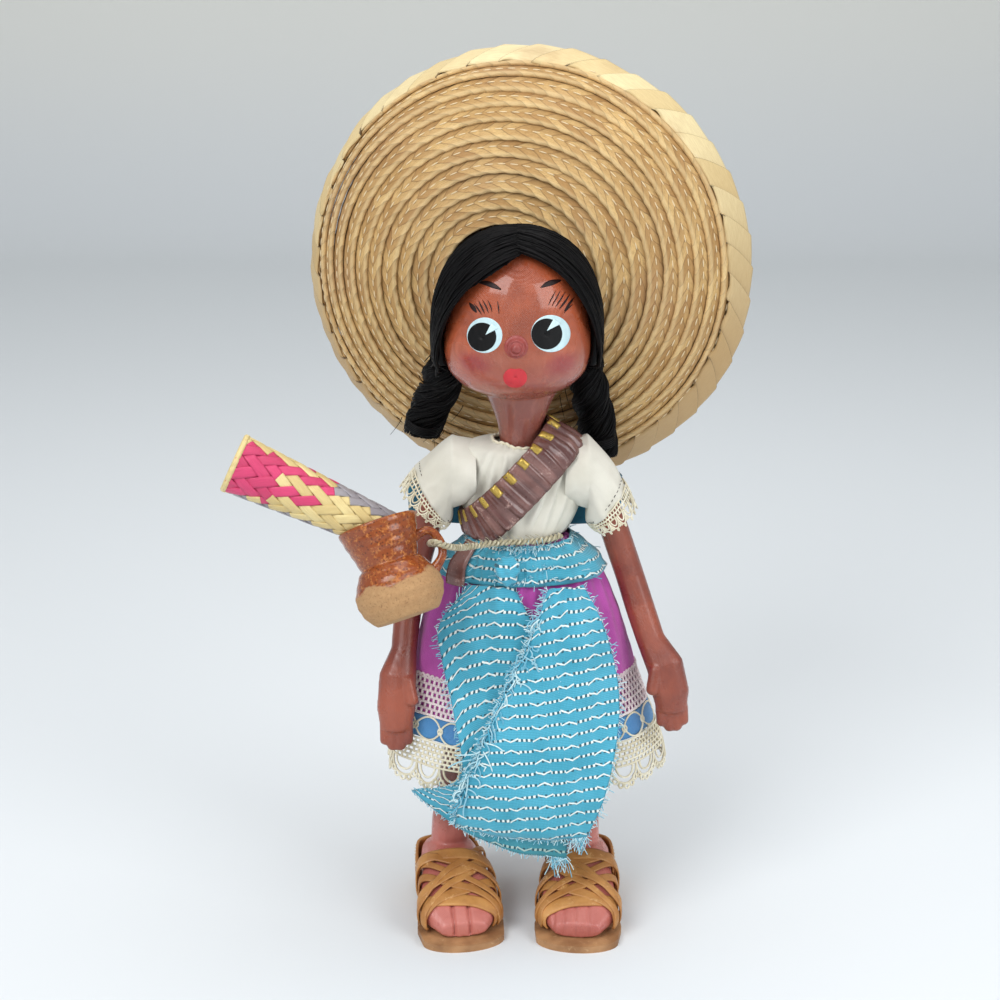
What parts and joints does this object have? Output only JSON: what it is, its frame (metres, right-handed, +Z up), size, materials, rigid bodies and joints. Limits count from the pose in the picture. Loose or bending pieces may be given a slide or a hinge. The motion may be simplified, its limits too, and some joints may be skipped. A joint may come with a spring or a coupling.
{
  "type": "folk cloth doll",
  "caption": "Painted cloth folk doll in sandals with a braided-palm sombrero on its back, a woven shawl, a cartridge belt, a clay jug hung from twine and a rolled palm mat.",
  "frame": {"origin": "centre of the bounding box at the ground under the sandals", "axes": "+Z up; -Y is where the doll looks, so its right hand is at -X"},
  "size_m": [0.1784, 0.113, 0.3024],
  "materials": {
    "cloth_skin": "painted cloth, varnished",
    "hair": "black yarn",
    "muslin": "plain weave",
    "magenta_cloth": "plain weave",
    "cotton_lace": "crochet and lace",
    "satin_ribbon": "openwork ribbon",
    "woven_blue": "hand-woven stripes",
    "teal_cloth": "plain weave",
    "leather_belt": "glossy, ribbed",
    "twine": "two-ply",
    "clay": "glazed neck and belly, bare base",
    "palm_mat": "plaited palm",
    "palm_straw": "sewn palm braid",
    "leather": "tan straps",
    "sole_leather": "rough cut",
    "wire": "drawn",
    "wood_peg": "sanded"
  },
  "bodies": {
    "doll": {"torso": "cloth_skin", "head": "cloth_skin", "leg_right": "cloth_skin", "leg_left": "cloth_skin", "hair_cap": "hair", "plait_right": "hair", "plait_left": "hair", "blouse": "muslin", "crochet_band": "cotton_lace", "hem_lace": "cotton_lace", "skirt": "magenta_cloth", "skirt_ribbon": "satin_ribbon", "shawl_waist": "woven_blue", "shawl_knot": "woven_blue", "shawl_back_panel": "woven_blue", "shawl_front_panel": "woven_blue", "back_cloth": "teal_cloth", "cartridge_belt": "leather_belt", "waist_twine": "twine", "hat_brim": "palm_straw", "hat_binding": "palm_straw", "hat_crown": "palm_straw", "sandal_straps_right": "leather", "sandal_straps_left": "leather", "heel_band_right": "leather", "heel_band_left": "leather", "sandal_sole_right": "sole_leather", "sandal_sole_left": "sole_leather", "shoulder_wire": "wire", "neck_peg": "wood_peg", "hip_peg_right": "wood_peg", "hip_peg_left": "wood_peg"},
    "right_arm": {"arm_right": "cloth_skin", "sleeve_right": "muslin", "sleeve_lace_right": "cotton_lace"},
    "left_arm": {"arm_left": "cloth_skin", "sleeve_left": "muslin", "sleeve_lace_left": "cotton_lace"},
    "jug": {"jug": "clay"},
    "roll": {"palm_roll": "palm_mat"}
  },
  "joints": [
    {"name": "right_shoulder", "type": "hinge", "parent": "doll", "child": "right_arm", "pos_m": [-0.01801, -0.00498, 0.164], "axis": [-1, 0, 0], "range_deg": [0, 12]},
    {"name": "left_shoulder", "type": "hinge", "parent": "doll", "child": "left_arm", "pos_m": [0.03519, -0.00498, 0.164], "axis": [-1, 0, 0], "range_deg": [-10, 90]},
    {"name": "jug_swing", "type": "hinge", "parent": "doll", "child": "jug", "pos_m": [-0.02266, -0.03561, 0.14911], "axis": [0, 0.9178, -0.3971], "range_deg": [0, 25]},
    {"name": "roll_pull", "type": "slide", "parent": "jug", "child": "roll", "axis": [-0.9018, 0, 0.4321], "range_m": [0, 0.02]}
  ]
}
